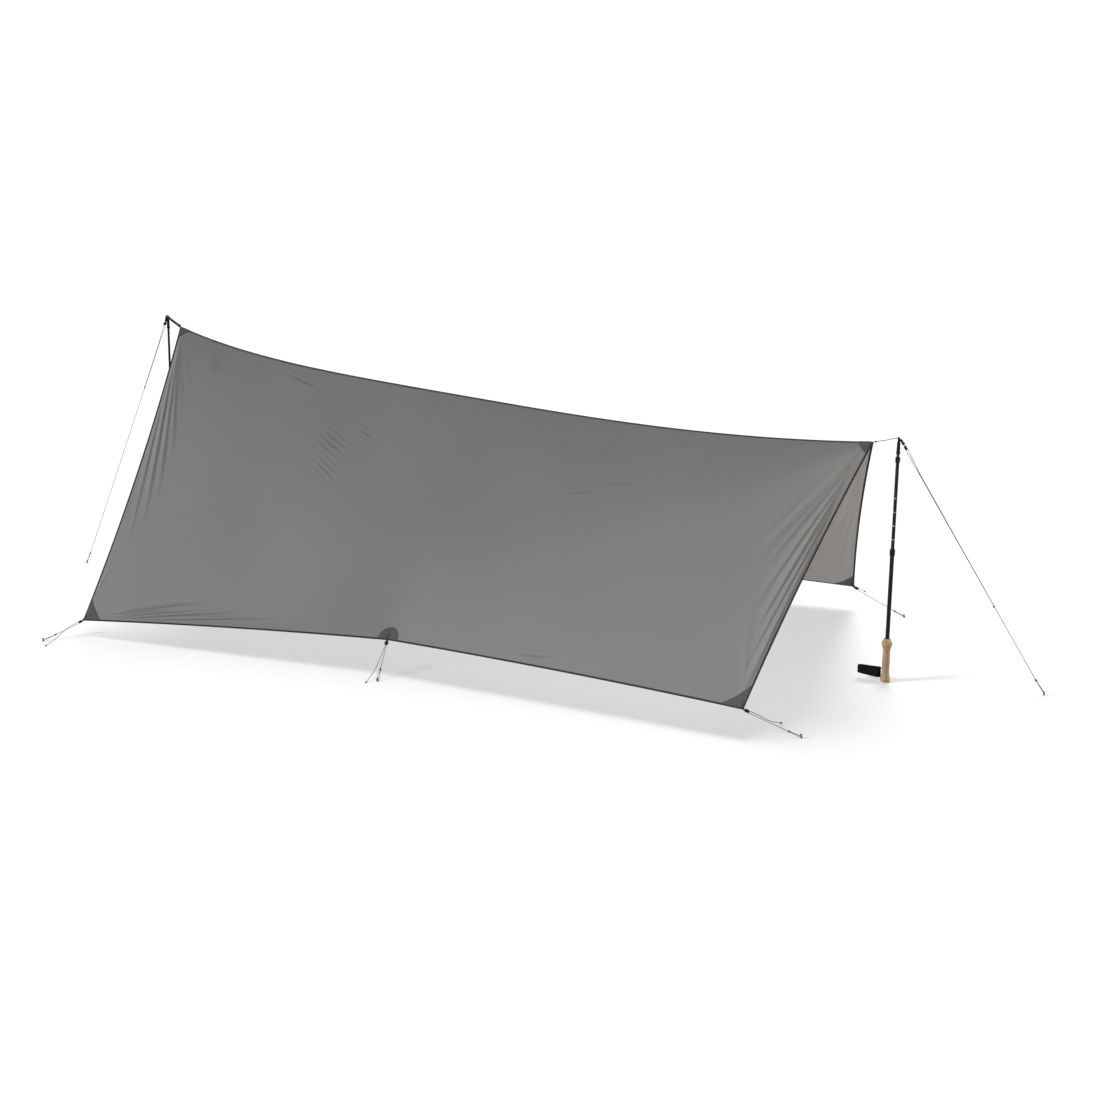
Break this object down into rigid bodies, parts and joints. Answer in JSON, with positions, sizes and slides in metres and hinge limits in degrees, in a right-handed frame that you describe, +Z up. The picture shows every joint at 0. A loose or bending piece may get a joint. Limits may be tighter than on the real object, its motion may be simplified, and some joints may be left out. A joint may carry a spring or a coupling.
{
  "type": "camping tarp",
  "caption": "Ridge tarp pitched as an open A-frame between upside-down telescopic walking poles, with pegged guylines and line adjusters.",
  "frame": {"origin": "on the ground, midway between the feet of the poles", "axes": "+X along the ridge from the tall end to the low end, -Y the near side with the middle tie-out seen in the picture, +Z up"},
  "size_m": [4.647, 2.0325, 1.2713],
  "materials": {
    "tarp_cloth": "satin",
    "patch_cloth": "matte",
    "hem_tape": "matte",
    "line_cord": "matte",
    "peak_cord": "matte",
    "black_plastic": "satin",
    "red_plastic": "satin",
    "peg_metal": "satin",
    "pole_tube": "satin",
    "cork": "matte",
    "webbing": "matte"
  },
  "bodies": {
    "shelter": {"near_panel": "tarp_cloth", "far_panel": "tarp_cloth", "ridge_seam": "hem_tape", "tall_end_hem": "hem_tape", "low_end_hem": "hem_tape", "near_hem": "hem_tape", "far_hem": "hem_tape", "tall_peak_patch": "patch_cloth", "low_peak_patch": "patch_cloth", "tall_near_patch": "patch_cloth", "tall_far_patch": "patch_cloth", "low_near_patch": "patch_cloth", "low_far_patch": "patch_cloth", "side_near_patch": "patch_cloth", "side_far_patch": "patch_cloth", "tall_near_adjuster": "black_plastic", "tall_far_adjuster": "black_plastic", "side_near_adjuster": "black_plastic", "side_far_adjuster": "black_plastic", "low_near_adjuster": "black_plastic", "low_far_adjuster": "black_plastic", "tall_ridge_adjuster": "black_plastic", "low_ridge_adjuster": "black_plastic", "tall_near_line": "line_cord", "tall_far_line": "line_cord", "side_near_line": "line_cord", "side_far_line": "line_cord", "low_near_line": "line_cord", "low_far_line": "line_cord", "tall_ridge_line": "line_cord", "low_ridge_line": "line_cord", "tall_peak_cord": "peak_cord", "low_peak_cord": "line_cord", "tall_near_peg": "peg_metal", "tall_far_peg": "peg_metal", "side_near_peg": "peg_metal", "side_far_peg": "peg_metal", "low_near_peg": "peg_metal", "low_far_peg": "peg_metal", "tall_ridge_peg": "peg_metal", "low_ridge_peg": "peg_metal", "tall_tip_section": "pole_tube", "low_tip_section": "pole_tube"},
    "tall_lower_lock": {"tall_lower_expander": "red_plastic"},
    "tall_middle_section": {"tall_middle_tube": "pole_tube", "tall_lower_collar": "black_plastic"},
    "tall_upper_lock": {"tall_upper_expander": "red_plastic"},
    "tall_grip_section": {"tall_upper_tube": "pole_tube", "tall_upper_collar": "black_plastic", "tall_grip": "cork"},
    "tall_wrist_strap": {"tall_strap": "webbing"},
    "low_middle_section": {"low_middle_tube": "pole_tube", "low_lower_collar": "black_plastic", "low_lower_expander": "red_plastic"},
    "low_upper_lock": {"low_upper_expander": "red_plastic"},
    "low_grip_section": {"low_upper_tube": "pole_tube", "low_upper_collar": "black_plastic", "low_grip": "cork"},
    "low_wrist_strap": {"low_strap": "webbing"}
  },
  "joints": [
    {"name": "tall_lower_twist", "type": "hinge", "parent": "shelter", "child": "tall_lower_lock", "pos_m": [-1.745, -0.052, 0.00111], "axis": [0.0659, 0.0541, 0.9964], "range_deg": [0, 180]},
    {"name": "tall_lower_slide", "type": "slide", "parent": "tall_lower_lock", "child": "tall_middle_section", "axis": [0.0659, 0.0541, 0.9964], "range_m": [0, 0.318]},
    {"name": "tall_upper_twist", "type": "hinge", "parent": "tall_middle_section", "child": "tall_upper_lock", "pos_m": [-1.745, -0.052, 0.00111], "axis": [0.0659, 0.0541, 0.9964], "range_deg": [0, 180]},
    {"name": "tall_upper_slide", "type": "slide", "parent": "tall_upper_lock", "child": "tall_grip_section", "axis": [0.0659, 0.0541, 0.9964], "range_m": [0, 0.35]},
    {"name": "tall_strap_swing", "type": "hinge", "parent": "tall_grip_section", "child": "tall_wrist_strap", "pos_m": [-1.73104, -0.06227, 0.05093], "axis": [-0.7699, -0.6324, 0.0853], "range_deg": [0, 80]},
    {"name": "low_lower_twist", "type": "hinge", "parent": "shelter", "child": "low_middle_section", "pos_m": [1.745, -0.07, 0.00106], "axis": [0, 0.0813, 0.9967], "range_deg": [0, 180]},
    {"name": "low_upper_twist", "type": "hinge", "parent": "low_middle_section", "child": "low_upper_lock", "pos_m": [1.745, -0.07, 0.00106], "axis": [0, 0.0813, 0.9967], "range_deg": [0, 180]},
    {"name": "low_upper_slide", "type": "slide", "parent": "low_upper_lock", "child": "low_grip_section", "axis": [0, 0.0813, 0.9967], "range_m": [0, 0.305]},
    {"name": "low_strap_swing", "type": "hinge", "parent": "low_grip_section", "child": "low_wrist_strap", "pos_m": [1.7282, -0.06593, 0.05089], "axis": [0, 0.9967, -0.0813], "range_deg": [0, 80]}
  ]
}
